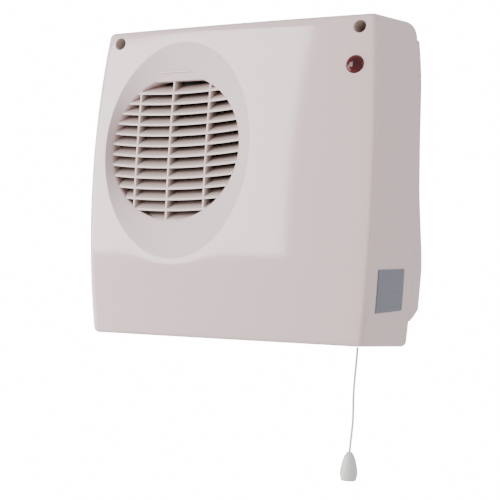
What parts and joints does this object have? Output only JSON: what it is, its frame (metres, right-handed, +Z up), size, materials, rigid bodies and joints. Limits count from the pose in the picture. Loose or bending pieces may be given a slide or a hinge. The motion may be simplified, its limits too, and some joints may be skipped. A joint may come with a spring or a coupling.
{
  "type": "bathroom wall fan heater",
  "caption": "Wall mounted downflow fan heater: convex moulded case, louvred round air intake, red neon, air outlet underneath and a pull cord switch with a bell-shaped knob.",
  "frame": {"origin": "middle of the rear housing's flat face, which lies on the wall", "axes": "+Y into the wall, +X to the right seen from the front, +Z up"},
  "size_m": [0.2504, 0.1211, 0.3623],
  "materials": {
    "casing": "glossy moulded off-white plastic",
    "white_plastic": "satin white plastic",
    "black_plastic": "matt black plastic",
    "steel": "zinc plated steel",
    "laminations": "dull varnished steel sheets",
    "copper": "varnished copper winding",
    "brass": "plain brass",
    "mica": "mica board",
    "nichrome": "heat stained resistance alloy",
    "ruby_lens": "clear ruby plastic",
    "lamp_glass": "clear glass",
    "label": "silver grey film, blank",
    "rubber": "matt rubber",
    "cord": "white braided cord",
    "brown_insulation": "brown PVC insulation",
    "blue_insulation": "blue PVC insulation"
  },
  "bodies": {
    "casing": {"front_cover": "casing", "rear_housing": "casing", "cover_screw_1": "steel", "cover_screw_2": "steel", "neon_lens": "ruby_lens", "neon_lamp": "lamp_glass", "rating_label": "label", "scroll_housing": "black_plastic", "scroll_back": "steel", "scroll_screw_1": "steel", "scroll_screw_2": "steel", "scroll_screw_3": "steel", "scroll_screw_4": "steel", "heater_frame": "mica", "heating_ribbon_1": "nichrome", "heating_ribbon_2": "nichrome", "heating_ribbon_3": "nichrome", "thermal_cutout": "black_plastic", "outlet_grille": "casing", "terminal_block": "white_plastic", "terminal_screw_1": "brass", "terminal_screw_2": "brass", "terminal_screw_3": "brass", "terminal_screw_4": "brass", "terminal_screw_5": "brass", "terminal_screw_6": "brass", "cable_clamp": "white_plastic", "clamp_screw_1": "steel", "clamp_screw_2": "steel", "cable_grommet": "rubber", "wire_live": "brown_insulation", "wire_switched": "brown_insulation", "wire_heater": "brown_insulation", "wire_neutral": "blue_insulation", "wire_motor": "brown_insulation", "motor_core": "laminations", "motor_coil": "copper", "motor_bracket_front": "steel", "motor_bracket_rear": "steel", "shaft_bush_1": "brass", "shaft_bush_2": "brass", "motor_screw_1": "steel", "motor_screw_2": "steel", "switch_body": "white_plastic", "switch_spring": "steel", "switch_bracket": "steel", "bracket_screw": "steel", "switch_tab_1": "brass", "switch_tab_2": "brass", "cord_guide": "white_plastic"},
    "fan": {"impeller": "black_plastic", "motor_shaft": "steel", "motor_rotor": "steel"},
    "switch_pull": {"switch_slider": "white_plastic", "cord_upper": "cord"},
    "hanging_cord": {"pull_cord": "cord", "cord_knob": "white_plastic"}
  },
  "joints": [
    {"name": "fan_spin", "type": "hinge", "parent": "casing", "child": "fan", "pos_m": [-0.0489, -0.06, 0.0253], "axis": [0, 1, 0], "continuous": true},
    {"name": "cord_pull", "type": "slide", "parent": "casing", "child": "switch_pull", "axis": [0, 0, -1], "range_m": [0, 0.009], "stiffness_N_per_m": 400, "springref_m": -0.01, "deforming": ["switch_spring"]},
    {"name": "cord_swing", "type": "hinge", "parent": "switch_pull", "child": "hanging_cord", "pos_m": [0.0995, -0.0755, -0.126], "axis": [0, 1, 0], "range_deg": [-20, 20]}
  ]
}
